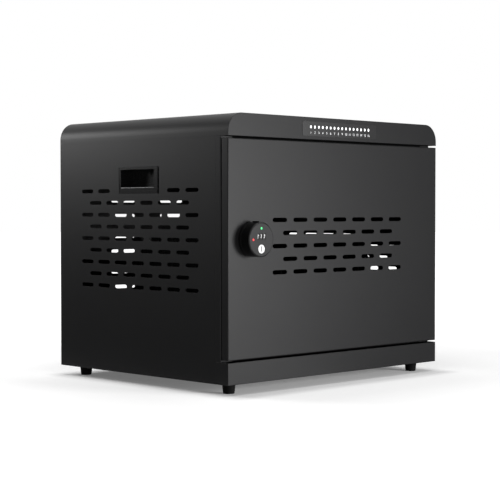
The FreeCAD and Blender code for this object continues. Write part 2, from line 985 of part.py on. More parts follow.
def inlet_cavity(inset):
    # socket outline with its two cut corners
    x = inlet_from_middle
    half = inlet_body_width / 2 - inset
    rise = inlet_body_height / 2 - inset
    cut = inlet_corner_cut
    y = back_y + inlet_bezel - inlet_depth + inlet_floor
    corners = [
        point(x - half, y, mains_z - rise),
        point(x + half, y, mains_z - rise),
        point(x + half, y, mains_z + rise - cut),
        point(x + half - cut, y, mains_z + rise),
        point(x - half + cut, y, mains_z + rise),
        point(x - half, y, mains_z + rise - cut),
    ]
    return polygon_prism(corners, along_y * (inlet_depth - inlet_floor))


def make_power_inlet():
    x = inlet_from_middle
    half = inlet_body_width / 2
    rise = inlet_body_height / 2
    border = inlet_bezel_border
    y0 = back_y + inlet_bezel - inlet_depth
    body = block(x - half, x + half, y0, back_y, mains_z - rise, mains_z + rise)
    bezel = block(
        x - half - border,
        x + half + border,
        back_y,
        back_y + inlet_bezel,
        mains_z - rise - border,
        mains_z + rise + border,
    )
    bezel = bezel.makeChamfer(border, edges_along_y(bezel))
    return body.fuse(bezel).removeSplitter().cut(inlet_cavity(inlet_wall))


def make_inlet_pins():
    y0 = back_y + inlet_bezel - inlet_depth + inlet_floor
    pins = []
    for x, z in ((-inlet_pin_spread, 0), (0, inlet_pin_rise), (inlet_pin_spread, 0)):
        pins.append(
            block(
                inlet_from_middle + x - inlet_pin_thickness / 2,
                inlet_from_middle + x + inlet_pin_thickness / 2,
                y0,
                y0 + inlet_pin_length,
                mains_z + z - inlet_pin_width / 2,
                mains_z + z + inlet_pin_width / 2,
            )
        )
    return pins


def rocker_width():
    return switch_body_width - 2 * switch_wall - 2 * rocker_side_gap


def make_switch_frame():
    x = switch_from_middle
    half = switch_body_width / 2
    rise = switch_body_height / 2
    border = switch_bezel_border
    y0 = back_y + switch_bezel - switch_depth
    body = block(x - half, x + half, y0, back_y, mains_z - rise, mains_z + rise)
    bezel = block(
        x - half - border,
        x + half + border,
        back_y,
        back_y + switch_bezel,
        mains_z - rise - border,
        mains_z + rise + border,
    )
    bezel = bezel.makeChamfer(border, edges_along_y(bezel))
    well = block(
        x - half + switch_wall,
        x + half - switch_wall,
        y0 + switch_floor,
        back_y + switch_bezel,
        mains_z - rise + switch_wall,
        mains_z + rise - switch_wall,
    )
    frame = body.fuse(bezel).removeSplitter().cut(well)
    half_pivot = rocker_width() / 2 + rocker_side_gap + rocker_pivot_sink
    start = point(x - half_pivot, rocker_y, mains_z)
    return frame.cut(
        bearing_hole(rocker_pivot_radius + running_fit, start, along_y, along_z, along_x * (2 * half_pivot))
    )


def make_switch_rocker():
    # a shallow V seen from the side, tipped to its off position
    half = rocker_width() / 2
    rise = switch_body_height / 2 - switch_wall - rocker_end_gap
    x0 = switch_from_middle - half
    corners = [
        point(x0, rocker_y - rocker_root, mains_z - rise / 2),
        point(x0, rocker_y, mains_z - rise),
        point(x0, rocker_y + rocker_crest, mains_z - rise),
        point(x0, rocker_y + rocker_dip, mains_z),
        point(x0, rocker_y + rocker_crest, mains_z + rise),
        point(x0, rocker_y, mains_z + rise),
        point(x0, rocker_y - rocker_root, mains_z + rise / 2),
    ]
    rocker = polygon_prism(corners, along_x * (2 * half))
    rocker.rotate(point(x0, rocker_y, mains_z), along_x, -rocker_tilt)
    half_pivot = half + rocker_side_gap + rocker_pivot_sink - running_fit
    start = point(switch_from_middle - half_pivot, rocker_y, mains_z)
    return rocker.fuse(rod(rocker_pivot_radius, start, along_x, 2 * half_pivot)).removeSplitter()


# Charge lamps

def make_indicator_overlay():
    half = overlay_width / 2
    middle = top_z - overlay_drop
    z0 = middle - overlay_height / 2
    plate = block(-half, half, front_y - overlay_thickness, front_y, z0, z0 + overlay_height)
    return plate.makeFillet(overlay_corner, edges_along_y(plate))


def board_box():
    half = board_width / 2
    y0 = inner_front_y + board_spacing
    middle = top_z - overlay_drop
    return half, y0, middle - board_height / 2, middle + board_height / 2


def make_led_board():
    half, y0, low, high = board_box()
    return block(-half, half, y0, y0 + board_thickness, low, high)


def make_led_lamps():
    half, board_y, low, high = board_box()
    z = top_z - lamp_drop
    lamps = []
    for index in range(lamp_count):
        x = (index - (lamp_count - 1) / 2) * lamp_pitch
        r = lamp_size / 2
        lamps.append(block(x - r, x + r, front_y + lamp_gap, board_y, z - r, z + r))
    return lamps


def make_board_spacers():
    half, board_y, low, high = board_box()
    spacers = []
    for x in (-half + spacer_inset, half - spacer_inset):
        for z in (low + spacer_inset, high - spacer_inset):
            start = point(x, inner_front_y, z)
            spacers.append(hex_prism(spacer_across_flats, start, along_x, along_z, along_y * board_spacing))
    return spacers


# Casing nodes
side_panel = make_left_side_panel()
jamb = make_left_jamb()
rear_angle = make_left_rear_angle()
handle = make_left_handle()
save("roof_shell", make_roof_shell())
save("left_side_panel", side_panel)
save("right_side_panel", mirrored(side_panel))
save("back_panel", make_back_panel())
save("base_pan", make_base_pan())
save("top_fascia", make_top_fascia())
save("bottom_plinth", make_bottom_plinth())
save("left_jamb", jamb)
save("right_jamb", mirrored(jamb))
save("upper_jamb", make_upper_jamb())
save("lower_jamb", make_lower_jamb())
save("left_rear_angle", rear_angle)
save("right_rear_angle", mirrored(rear_angle))
save("left_handle", handle)
save("right_handle", mirrored(handle))
save("feet", *make_feet())
save("strike_plate", make_strike_plate())
save("door_bumpers", *make_door_bumpers())

# Hinge nodes: the door's leaf lies on the door, the frame's leaf on the jamb
for upper, place in ((True, "upper"), (False, "lower")):
    save(place + "_hinge_frame_leaf", make_hinge_leaf(upper, 0, jamb_y - hinge_leaf))
    save(place + "_hinge_door_leaf", make_hinge_leaf(upper, 1, door_back_y))
    save(place + "_hinge_pin", make_hinge_pin(upper))

# Door and lock nodes
save("door_panel", make_door_panel())
save("door_stiffeners", *make_door_stiffeners())
save("lock_plate", make_lock_plate())
save("lock_collar", make_lock_collar())
save("lock_nut", make_lock_nut())
save("knob_shell", make_knob_shell())
save("knob_face", make_knob_face())
green_place, red_place = marker_places()
save("unlocked_marker", marker_disc(marker_radius, green_place))
save("locked_marker", marker_disc(marker_radius, red_place))
save("wheel_cradle", make_wheel_cradle())
save("wheel_axle", make_wheel_axle())
for index, x in enumerate(wheel_places()):
    save("number_wheel_" + str(index + 1), make_number_wheel(x))
save("lock_spindle", make_lock_spindle())
save("lock_cam", make_lock_cam())
save("cam_screw", make_cam_screw())
save("key_plug", make_key_plug())

# Rack, charging and lamp nodes
save("floor_shelf", make_floor_shelf())
save("front_comb", make_comb(divider_front() + comb_inset))
save("rear_comb", make_comb(divider_front() + divider_depth - comb_inset))
save("dividers", *make_dividers())
save("charging_hub", make_charging_hub())
save("power_supply", make_power_supply())
save("power_inlet", make_power_inlet())
save("inlet_pins", *make_inlet_pins())
save("switch_frame", make_switch_frame())
save("switch_rocker", make_switch_rocker())
save("indicator_overlay", make_indicator_overlay())
save("led_board", make_led_board())
save("led_lamps", *make_led_lamps())
save("board_spacers", *make_board_spacers())
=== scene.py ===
import bpy
import bmesh
import json
import math
from mathutils import Matrix, Vector
from mathutils.bvhtree import BVHTree


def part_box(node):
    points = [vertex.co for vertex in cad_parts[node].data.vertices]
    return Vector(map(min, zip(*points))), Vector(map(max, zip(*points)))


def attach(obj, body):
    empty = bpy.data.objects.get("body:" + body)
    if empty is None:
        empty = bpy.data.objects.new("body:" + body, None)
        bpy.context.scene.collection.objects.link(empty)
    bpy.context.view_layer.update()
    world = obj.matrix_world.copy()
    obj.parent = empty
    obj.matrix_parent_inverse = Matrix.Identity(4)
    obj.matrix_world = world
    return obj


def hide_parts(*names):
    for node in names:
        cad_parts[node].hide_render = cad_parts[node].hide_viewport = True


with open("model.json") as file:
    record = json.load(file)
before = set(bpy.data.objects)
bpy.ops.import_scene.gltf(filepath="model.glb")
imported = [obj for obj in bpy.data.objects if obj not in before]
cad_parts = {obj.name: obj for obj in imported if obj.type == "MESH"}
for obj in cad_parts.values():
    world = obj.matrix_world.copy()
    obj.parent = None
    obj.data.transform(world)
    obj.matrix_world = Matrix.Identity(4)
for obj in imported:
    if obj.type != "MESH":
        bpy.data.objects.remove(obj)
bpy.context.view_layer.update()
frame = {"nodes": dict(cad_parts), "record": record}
mm = 0.001
record = frame["record"]
bodyOf = {node: body for body, nodes in record["behaviour"]["bodies"].items() for node in nodes}
slotOf = {part["node"]: part["material_slot"] for part in record["subparts"]}
print("frame loaded with", len(frame["nodes"]), "nodes")


# helpers

def hexToLinear(text):
    channels = []
    for start in (1, 3, 5):
        value = int(text[start:start + 2], 16) / 255.0
        channels.append(value / 12.92 if value <= 0.04045 else ((value + 0.055) / 1.055) ** 2.4)
    return (*channels, 1.0)


def patternScale(sizeMm):
    return 1000.0 / sizeMm  # features of this size, in object coordinates of metres


def addNode(tree, kind, settings=None, links=None):
    node = tree.nodes.new("ShaderNode" + kind)
    for key, value in (settings or {}).items():
        if isinstance(key, str) and hasattr(node, key):
            setattr(node, key, value)
        else:
            node.inputs[key].default_value = value
    for key, socket in (links or {}).items():
        tree.links.new(socket, node.inputs[key])
    return node


def startMaterial(name):
    material = bpy.data.materials.new(name)
    material.use_nodes = True
    tree = material.node_tree
    shader = tree.nodes["Principled BSDF"]
    place = addNode(tree, "TexCoord").outputs["Object"]
    return material, tree, shader, place


def makePiece(name, bm, material, body, sharpDegrees=35.0):
    mesh = bpy.data.meshes.new(name)
    bm.to_mesh(mesh)
    bm.free()
    mesh.polygons.foreach_set("use_smooth", [True] * len(mesh.polygons))
    mesh.set_sharp_from_angle(angle=math.radians(sharpDegrees))
    mesh.materials.append(material)
    piece = bpy.data.objects.new(name, mesh)
    bpy.context.scene.collection.objects.link(piece)
    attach(piece, body)
    return piece


def roundEdges(bm, edges, widthMm, segments):
    bmesh.ops.bevel(bm, geom=edges, offset=widthMm * mm, offset_type="OFFSET", affect="EDGES",
                    segments=segments, profile=0.5, clamp_overlap=True, material=-1)


def addBlock(bm, place, sizeMm):
    return bmesh.ops.create_cube(bm, size=1.0, matrix=place @ Matrix.Diagonal([s * mm for s in sizeMm] + [1.0]))


def easeBlocks(bm, widthMm, angle=60.0, segments=2):
    corners = [edge for edge in bm.edges if edge.calc_face_angle(0.0) > math.radians(angle)]
    roundEdges(bm, corners, widthMm, segments)


# finish of the solids: welded, with the folds of the sheets rounded and the edges sharper than 40 degrees eased
# where an edge width is given
cadMesh = {"weldMm": 0.002, "flatDegrees": 0.5}
sheetFold = {"slot": "black_paint", "radiusMm": 1.0, "segments": 3, "shortestMm": 150.0, "flangeArea": 0.002,
             "angle": 70.0}
softEdge = {"segments": 2, "angle": 40.0}


def roundFolds(bm):
    # the outer round of a folded sheet, where two wide faces of it meet along a long edge
    folds = [edge for edge in bm.edges
             if edge.calc_length() > sheetFold["shortestMm"] * mm and edge.is_convex
             and edge.calc_face_angle(0.0) > math.radians(sheetFold["angle"])
             and min(face.calc_area() for face in edge.link_faces) > sheetFold["flangeArea"]]
    roundEdges(bm, folds, sheetFold["radiusMm"], sheetFold["segments"])


def softenEdges(piece, widthMm):
    bevel = piece.modifiers.new("softEdges", "BEVEL")
    bevel.width = widthMm * mm
    bevel.segments = softEdge["segments"]
    bevel.limit_method = "ANGLE"
    bevel.angle_limit = math.radians(softEdge["angle"])


def finishNode(node, material, edgeMm):
    bm = bmesh.new()
    bm.from_mesh(frame["nodes"][node].data)
    bmesh.ops.remove_doubles(bm, verts=bm.verts, dist=cadMesh["weldMm"] * mm)
    bmesh.ops.dissolve_limit(bm, angle_limit=math.radians(cadMesh["flatDegrees"]), verts=bm.verts, edges=bm.edges)
    if slotOf[node] == sheetFold["slot"]:
        roundFolds(bm)
    piece = makePiece(node + "_finish", bm, material, bodyOf[node])
    if edgeMm:
        softenEdges(piece, edgeMm)
    shade = piece.modifiers.new("evenShade", "WEIGHTED_NORMAL")  # flat faces stay flat beside rounds
    shade.keep_sharp = True
    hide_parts(node)


# materials
# the grains of real paint, moulds and plating are finer than a pixel, so they are drawn coarser here to show
noiseDetail = {"grain": 4.0, "cloud": 2.0}
grainRise = 0.2  # height of the grain against its width


def grainedFinish(spec):
    # two close tones in soft clouds, and a fine grain that breaks up the gloss and lifts the surface a little
    material, tree, shader, place = startMaterial(spec["name"])
    grain = addNode(tree, "TexNoise", {"Scale": patternScale(spec["grainMm"]), "Detail": noiseDetail["grain"]},
                    {"Vector": place})
    cloud = addNode(tree, "TexNoise", {"Scale": patternScale(spec["cloudMm"]), "Detail": noiseDetail["cloud"]},
                    {"Vector": place})
    tone = addNode(tree, "Mix", {"data_type": "RGBA", 6: hexToLinear(spec["dark"]), 7: hexToLinear(spec["light"])},
                   {0: cloud.outputs["Fac"]})
    low, high = spec["roughness"]
    gloss = addNode(tree, "MapRange", {"To Min": low, "To Max": high}, {"Value": grain.outputs["Fac"]})
    bump = addNode(tree, "Bump", {"Strength": spec["bump"], "Distance": spec["grainMm"] * grainRise * mm},
                   {"Height": grain.outputs["Fac"]})
    tree.links.new(tone.outputs[2], shader.inputs["Base Color"])
    tree.links.new(gloss.outputs["Result"], shader.inputs["Roughness"])
    tree.links.new(bump.outputs["Normal"], shader.inputs["Normal"])
    shader.inputs["Metallic"].default_value = spec.get("metallic", 0.0)
    shader.inputs["IOR"].default_value = spec.get("ior", 1.5)
    # the glow is the lamp lenses' own light, and painted light on the enamel, marker paints and ink, which are no
    # lamps
    if "glow" in spec:
        shader.inputs["Emission Color"].default_value = hexToLinear(spec["light"])
        shader.inputs["Emission Strength"].default_value = spec["glow"]
    return material


# polyester powder coat, sprayed and baked on steel sheet: an even satin black with a fine orange peel
powderCoat = grainedFinish({"name": "blackPowderCoat", "dark": "#141415", "light": "#171718", "grainMm": 1.2,
                            "cloudMm": 60.0, "roughness": (0.42, 0.5), "bump": 0.12, "ior": 1.31})
# bright zinc, plated on steel: a cool grey metal with faint clouds
zincPlate = grainedFinish({"name": "brightZincPlate", "dark": "#9fa0a2", "light": "#b4b5b6", "grainMm": 2.5,
                           "cloudMm": 6.0, "roughness": (0.24, 0.38), "bump": 0.05, "metallic": 1.0})
# the same plate under a black passivation: a dark metal with a dull glint
blackZinc = grainedFinish({"name": "blackZincPlate", "dark": "#2a2a2c", "light": "#353537", "grainMm": 1.5,
                           "cloudMm": 5.0, "roughness": (0.3, 0.42), "bump": 0.05, "metallic": 1.0})
# ABS moulded in a spark-eroded tool: a deep black whose highlights look finely grained
grainedAbs = grainedFinish({"name": "grainedBlackAbs", "dark": "#0a0a0b", "light": "#0d0d0e", "grainMm": 0.8,
                            "cloudMm": 30.0, "roughness": (0.24, 0.3), "bump": 0.12, "ior": 1.42})
# nylon of the lock's body, moulded smooth: the blackest piece, with one soft highlight
lockNylon = grainedFinish({"name": "smoothBlackNylon", "dark": "#050505", "light": "#070708", "grainMm": 1.0,
                           "cloudMm": 15.0, "roughness": (0.3, 0.38), "bump": 0.04, "ior": 1.3})
# charcoal lacquer sprayed on the lock's face: satin, and a shade lighter than the body around it
faceLacquer = grainedFinish({"name": "satinCharcoalLacquer", "dark": "#151516", "light": "#19191a", "grainMm": 0.6,
                             "cloudMm": 12.0, "roughness": (0.46, 0.56), "bump": 0.1, "ior": 1.3})
# polished ABS of the mains switch: black with an almost sharp reflection
glossAbs = grainedFinish({"name": "polishedBlackAbs", "dark": "#121213", "light": "#151516", "grainMm": 2.0,
                          "cloudMm": 10.0, "roughness": (0.12, 0.18), "bump": 0.02})
# printed polyester film over the lamps: darker than the paint but glossier, so it brightens towards the light
overlayFilm = grainedFinish({"name": "printedPolyesterFilm", "dark": "#0c0c0d", "light": "#0f0f10", "grainMm": 0.7,
                             "cloudMm": 40.0, "roughness": (0.34, 0.4), "bump": 0.05, "ior": 1.48})
# moulded rubber: dull black with a trace of bloom
footRubber = grainedFinish({"name": "mouldedBlackRubber", "dark": "#080808", "light": "#0d0d0d", "grainMm": 0.9,
                            "cloudMm": 8.0, "roughness": (0.7, 0.85), "bump": 0.15, "ior": 1.2})
# black coat of the frame above and below the door, flat and deep: the frame's own black, darkened further as
# painted shade, so that the gaps read as dark lines
frameCoatAndGapShade = grainedFinish({"name": "blackFrameCoatAndGapShade", "dark": "#040404", "light": "#060606", "grainMm": 1.0,
                           "cloudMm": 40.0, "roughness": (0.75, 0.85), "bump": 0.06, "ior": 1.12})
# acetal of the number wheels, moulded smooth: slick black with a waxy sheen
wheelAcetal = grainedFinish({"name": "blackAcetal", "dark": "#111112", "light": "#161617", "grainMm": 0.5,
                             "cloudMm": 4.0, "roughness": (0.3, 0.4), "bump": 0.04})
# white stoved enamel of the key plug: a clean bright disc with a wet gloss, and a faint glow, painted light that
# keeps it bright
plugEnamelWithPaintedGlow = grainedFinish({"name": "whiteEnamelWithPaintedGlow", "dark": "#e9e9e9", "light": "#f6f6f6", "grainMm": 0.8,
                            "cloudMm": 5.0, "roughness": (0.2, 0.3), "bump": 0.02, "glow": 0.1})
# green enamel filled into its recess: a strong dot with a glow, painted light that holds its colour in shade
markerGreenWithPaintedGlow = grainedFinish({"name": "greenMarkerPaintWithPaintedGlow", "dark": "#2fdc70", "light": "#4af08c", "grainMm": 0.6,
                             "cloudMm": 2.0, "roughness": (0.25, 0.35), "bump": 0.03, "glow": 0.3})
# red enamel filled in the same way, with the same painted glow
markerRedWithPaintedGlow = grainedFinish({"name": "redMarkerPaintWithPaintedGlow", "dark": "#d80f18", "light": "#f01822", "grainMm": 0.6,
                           "cloudMm": 2.0, "roughness": (0.25, 0.35), "bump": 0.03, "glow": 0.3})
# frosted polycarbonate lamp windows, lit from behind: even white dots
lampLens = grainedFinish({"name": "frostedLampLens", "dark": "#f2f4f6", "light": "#ffffff", "grainMm": 0.5,
                          "cloudMm": 3.0, "roughness": (0.3, 0.4), "bump": 0.02, "glow": 0.6})
# pale ink, screen-printed on the film: matt, a little greyer than the lamps, and with a faint glow, painted light
paleInkWithPaintedGlow = grainedFinish({"name": "paleScreenInkWithPaintedGlow", "dark": "#d6d6d8", "light": "#e4e4e6", "grainMm": 0.4,
                         "cloudMm": 3.0, "roughness": (0.5, 0.6), "bump": 0.03, "glow": 0.15})
# white ink printed on the wheels and the switch: matt and thin
whiteInk = grainedFinish({"name": "whiteScreenInk", "dark": "#ececec", "light": "#f8f8f8", "grainMm": 0.4,
                          "cloudMm": 3.0, "roughness": (0.5, 0.6), "bump": 0.03})
# glass-fibre circuit board under green solder resist: glossy, with a slightly uneven cover
boardResist = grainedFinish({"name": "greenSolderResist", "dark": "#0f4a26", "light": "#176b36", "grainMm": 1.0,
                             "cloudMm": 3.0, "roughness": (0.25, 0.35), "bump": 0.1})
print("materials ready:", len(bpy.data.materials))


# casing, door and fittings keep the solids' shapes: a finish and an edge width in mm for each slot
seamEdgeMm = 0.08  # edges that meet at a seam stay crisp
nodeFinish = {
    "black_paint": (powderCoat, 0.35),
    "zinc_steel": (zincPlate, 0.2),
    "black_steel": (blackZinc, 0.1),
    "moulded_black": (grainedAbs, 0.2),
    "lock_black": (lockNylon, 0.3),
    "lock_face": (faceLacquer, 0.15),
    "rocker_black": (glossAbs, 0.25),
    "overlay_film": (overlayFilm, 0.12),
    "black_rubber": (footRubber, 0.8),
    "wheel_black": (wheelAcetal, 0.15),
    "plug_white": (plugEnamelWithPaintedGlow, 0.2),
    "marker_green": (markerGreenWithPaintedGlow, 0.15),
    "marker_red": (markerRedWithPaintedGlow, 0.15),
    "lamp_white": (lampLens, 0.2),
    "board_green": (boardResist, 0.0),
}
ownFinish = {
    "roof_shell": (powderCoat, seamEdgeMm),
    "left_side_panel": (powderCoat, seamEdgeMm),
    "right_side_panel": (powderCoat, seamEdgeMm),
    "top_fascia": (powderCoat, seamEdgeMm),
    "upper_jamb": (frameCoatAndGapShade, seamEdgeMm),
    "lower_jamb": (frameCoatAndGapShade, seamEdgeMm),
}
for node in frame["nodes"]:
    material, edge = ownFinish.get(node, nodeFinish[slotOf[node]])
    finishNode(node, material, edge)
print("solids finished:", len(frame["nodes"]))


# numbers and lamps

def addText(target, text, sizeMm, matrix, depthMm=0.06):
    curve = bpy.data.curves.new("figure", "FONT")
    curve.body = text
    curve.size = sizeMm * mm
    curve.align_x = "CENTER"
    curve.align_y = "CENTER"
    curve.extrude = depthMm * mm
    holder = bpy.data.objects.new("figure", curve)
    bpy.context.scene.collection.objects.link(holder)
    bpy.context.view_layer.update()
    figure = bpy.data.meshes.new_from_object(holder.evaluated_get(bpy.context.evaluated_depsgraph_get()))
    figure.transform(matrix)
    target.from_mesh(figure)
    bpy.data.objects.remove(holder)
    bpy.data.curves.remove(curve)
    bpy.data.meshes.remove(figure)


faceForward = Matrix.Rotation(math.radians(90), 4, "X")  # lettering that faces the door's side

lampRow = {"count": 16, "radiiMm": (2.05, 2.45), "topShare": 0.8, "riseMm": 0.3, "segments": 24,
           "figureMm": 5.8, "figureDropMm": 9.9}
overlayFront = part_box("indicator_overlay")[0].y
lampLow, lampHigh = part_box("led_lamps")
lampSize = lampHigh.z - lampLow.z
lampPitch = (lampHigh.x - lampLow.x - lampSize) / (lampRow["count"] - 1)
lampZ = (lampLow.z + lampHigh.z) / 2
lensOval = Matrix.Diagonal((*lampRow["radiiMm"], 1.0, 1.0))
lensRise = lampRow["riseMm"] * mm
lenses = bmesh.new()
figures = bmesh.new()
for index in range(lampRow["count"]):
    x = lampLow.x + lampSize / 2 + index * lampPitch
    place = Matrix.Translation((x, overlayFront - lensRise / 2, lampZ)) @ faceForward
    bmesh.ops.create_cone(lenses, cap_ends=True, segments=lampRow["segments"], radius1=mm,
                          radius2=lampRow["topShare"] * mm, depth=lensRise, matrix=place @ lensOval)
    place = Matrix.Translation((x, overlayFront, lampZ - lampRow["figureDropMm"] * mm)) @ faceForward
    addText(figures, str(index + 1), lampRow["figureMm"], place)
makePiece("lamp_windows", lenses, lampLens, "cabinet")
makePiece("lamp_numbers", figures, paleInkWithPaintedGlow, "cabinet")
print("lamp row made")

wheelNumbers = (1, 2, 3)
wheelMarks = {"figureMm": 6.4, "facing": 7, "facets": 10}
for number in wheelNumbers:
    low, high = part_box("number_wheel_%d" % number)
    centre = (low + high) / 2
    drop = centre.y - low.y
    marks = bmesh.new()
    for step in range(wheelMarks["facets"]):
        turn = Matrix.Rotation(2 * math.pi * step / wheelMarks["facets"], 4, "X")
        place = Matrix.Translation(centre) @ turn @ Matrix.Translation((0, -drop, 0)) @ faceForward
        digit = (wheelMarks["facing"] + step) % wheelMarks["facets"]
        addText(marks, str(digit), wheelMarks["figureMm"], place)
    makePiece("wheel_%d_numbers" % number, marks, whiteInk, "wheel_%d" % number)
print("wheel numbers made")

# black masks above and below each lock window, which leave one number showing; they are also painted shade, dark
# bars where the window above and below the number lies in shadow
windowMaskAndShade = {"sizeMm": (4.6, 0.3, 1.9), "offsetMm": 3.95, "sinkMm": 0.2, "edgeMm": 0.06}
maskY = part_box("knob_face")[0].y + (windowMaskAndShade["sinkMm"] + windowMaskAndShade["sizeMm"][1] / 2) * mm
masks = bmesh.new()
for number in wheelNumbers:
    low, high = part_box("number_wheel_%d" % number)
    centre = (low + high) / 2
    for way in (-1, 1):
        place = Matrix.Translation((centre.x, maskY, centre.z + way * windowMaskAndShade["offsetMm"] * mm))
        addBlock(masks, place, windowMaskAndShade["sizeMm"])
easeBlocks(masks, windowMaskAndShade["edgeMm"])
makePiece("window_masks_and_shade", masks, lockNylon, "knob")
print("window masks made")

# the dark wards a little way down the keyway, a black block that is partly painted shade for the depth of the slot
keyWardsAndShade = {"sizeMm": (2.2, 7.0, 8.8), "sinkMm": 1.2, "edgeMm": 0.2}
plugLow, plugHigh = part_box("key_plug")
plugCentre = (plugLow + plugHigh) / 2
wardY = plugLow.y + (keyWardsAndShade["sinkMm"] + keyWardsAndShade["sizeMm"][1] / 2) * mm
wards = bmesh.new()
addBlock(wards, Matrix.Translation((plugCentre.x, wardY, plugCentre.z)), keyWardsAndShade["sizeMm"])
easeBlocks(wards, keyWardsAndShade["edgeMm"])
makePiece("keyway_wards_and_shade", wards, lockNylon, "key_plug")
print("keyway wards made")


# small fittings at the back and inside
faceBack = Matrix.Rotation(math.radians(-90), 4, "X")  # fittings that face the rear

backScrews = {"radiusMm": 3.6, "riseMm": 1.9, "sinkMm": 0.2, "segments": (24, 12), "fromSideMm": 9.0,
              "heightsMm": (96.0, 247.0, 398.0), "armMm": (3.3, 0.675, 0.3), "armHeight": 0.95}
backLow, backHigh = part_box("back_panel")
headRise = backScrews["riseMm"] * mm
fromSide = backScrews["fromSideMm"] * mm
around, upward = backScrews["segments"]
screwHeads = bmesh.new()
screwRecessShade = bmesh.new()
for side in (backLow.x + fromSide, backHigh.x - fromSide):
    for height in backScrews["heightsMm"]:
        place = Matrix.Translation((side, backHigh.y, height * mm)) @ faceBack
        flatten = Matrix.Diagonal((1.0, 1.0, backScrews["riseMm"] / backScrews["radiusMm"], 1.0))
        bmesh.ops.create_uvsphere(screwHeads, u_segments=around, v_segments=upward,
                                  radius=backScrews["radiusMm"] * mm, matrix=place @ flatten)
        crown = place @ Matrix.Translation((0, 0, headRise * backScrews["armHeight"]))
        for turn in (0.0, 90.0):  # the two arms of a cross recess, black bars on the head: painted shade for the depth of the recess
            addBlock(screwRecessShade, crown @ Matrix.Rotation(math.radians(turn), 4, "Z"), backScrews["armMm"])
bmesh.ops.bisect_plane(screwHeads, geom=screwHeads.verts[:] + screwHeads.edges[:] + screwHeads.faces[:],
                       plane_co=(0, backHigh.y - backScrews["sinkMm"] * mm, 0), plane_no=(0, -1, 0),
                       clear_outer=True)
bmesh.ops.holes_fill(screwHeads, edges=screwHeads.edges[:])
makePiece("back_screws", screwHeads, blackZinc, "cabinet")
makePiece("back_screw_recess_shade", screwRecessShade, lockNylon, "cabinet")
print("back screws made")

hubPorts = {"columns": 2, "rows": 8, "columnPitchMm": 90.0, "rowPitchMm": 20.0, "shellMm": (9.0, 2.0, 3.0),
            "rimMm": 0.35, "mouthMm": 1.7, "tongueMm": (6.4, 1.2, 0.7), "tongueAtMm": 1.2, "edgeMm": 0.25}
hubLow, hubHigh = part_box("charging_hub")
hubCentre = (hubLow + hubHigh) / 2
shells = bmesh.new()
tongues = bmesh.new()
for column in range(hubPorts["columns"]):
    for row in range(hubPorts["rows"]):
        x = hubCentre.x + (column - (hubPorts["columns"] - 1) / 2) * hubPorts["columnPitchMm"] * mm
        z = hubCentre.z + (row - (hubPorts["rows"] - 1) / 2) * hubPorts["rowPitchMm"] * mm
        shellY = hubLow.y + hubPorts["shellMm"][1] / 2 * mm
        made = addBlock(shells, Matrix.Translation((x, shellY, z)), hubPorts["shellMm"])
        shells.normal_update()
        sides = {face for vert in made["verts"] for face in vert.link_faces}
        mouth = [face for face in sides if face.normal.y < -0.9]  # the side that faces the door
        bmesh.ops.inset_region(shells, faces=mouth, thickness=hubPorts["rimMm"] * mm)
        bmesh.ops.translate(shells, verts=mouth[0].verts[:], vec=(0, hubPorts["mouthMm"] * mm, 0))
        tongueY = hubLow.y + hubPorts["tongueAtMm"] * mm
        addBlock(tongues, Matrix.Translation((x, tongueY, z)), hubPorts["tongueMm"])
makePiece("hub_port_shells", shells, zincPlate, "cabinet")
easeBlocks(tongues, hubPorts["edgeMm"])
makePiece("hub_port_tongues", tongues, grainedAbs, "cabinet")
print("hub ports made")

rockerMarks = {"figureMm": 4.4, "depthMm": 0.04, "riseMm": 3.9, "castFromMm": 10.0, "signs": {"I": 1.0, "O": -1.0}}
rockerLow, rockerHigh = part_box("switch_rocker")
rockerCentre = (rockerLow + rockerHigh) / 2
rockerMesh = frame["nodes"]["switch_rocker"].data
rockerTree = BVHTree.FromPolygons([vert.co for vert in rockerMesh.vertices],
                                  [face.vertices[:] for face in rockerMesh.polygons])
signs = bmesh.new()
for sign, way in rockerMarks["signs"].items():
    start = Vector((rockerCentre.x, rockerHigh.y + rockerMarks["castFromMm"] * mm,
                    rockerCentre.z + way * rockerMarks["riseMm"] * mm))
    touch, normal, _, _ = rockerTree.ray_cast(start, Vector((0, -1, 0)))
    lean = normal.to_track_quat("Z", "Y").to_matrix().to_4x4()  # each sign lies on its slope of the rocker
    addText(signs, sign, rockerMarks["figureMm"], Matrix.Translation(touch) @ lean, rockerMarks["depthMm"])
makePiece("rocker_signs", signs, whiteInk, "rocker")
print("switch signs made")


# stage

def cameraSees(tree):
    # 1 for what the camera sees directly, through glass or in a reflection, and 0 for other light
    rays = addNode(tree, "LightPath")
    seen = addNode(tree, "Math", {"operation": "MAXIMUM"},
                   {0: rays.outputs["Is Camera Ray"], 1: rays.outputs["Is Transmission Ray"]})
    seen = addNode(tree, "Math", {"operation": "MAXIMUM"},
                   {0: seen.outputs[0], 1: rays.outputs["Is Glossy Ray"]})
    return seen.outputs[0]


def aimed(spec):
    aim = Vector(spec["towards"]) - Vector(spec["at"])
    return Matrix.Translation(spec["at"]) @ aim.to_track_quat("-Z", "Y").to_matrix().to_4x4()


def addPlane(name, place, size, material):
    bm = bmesh.new()
    spread = Matrix.Diagonal((*size, 1.0, 1.0))
    bmesh.ops.create_grid(bm, x_segments=1, y_segments=1, size=0.5, matrix=place @ spread)  # from one metre square
    data = bpy.data.meshes.new(name)
    bm.to_mesh(data)
    bm.free()
    data.materials.append(material)
    plane = bpy.data.objects.new(name, data)
    bpy.context.scene.collection.objects.link(plane)
    return plane


white = (1.0, 1.0, 1.0, 1.0)
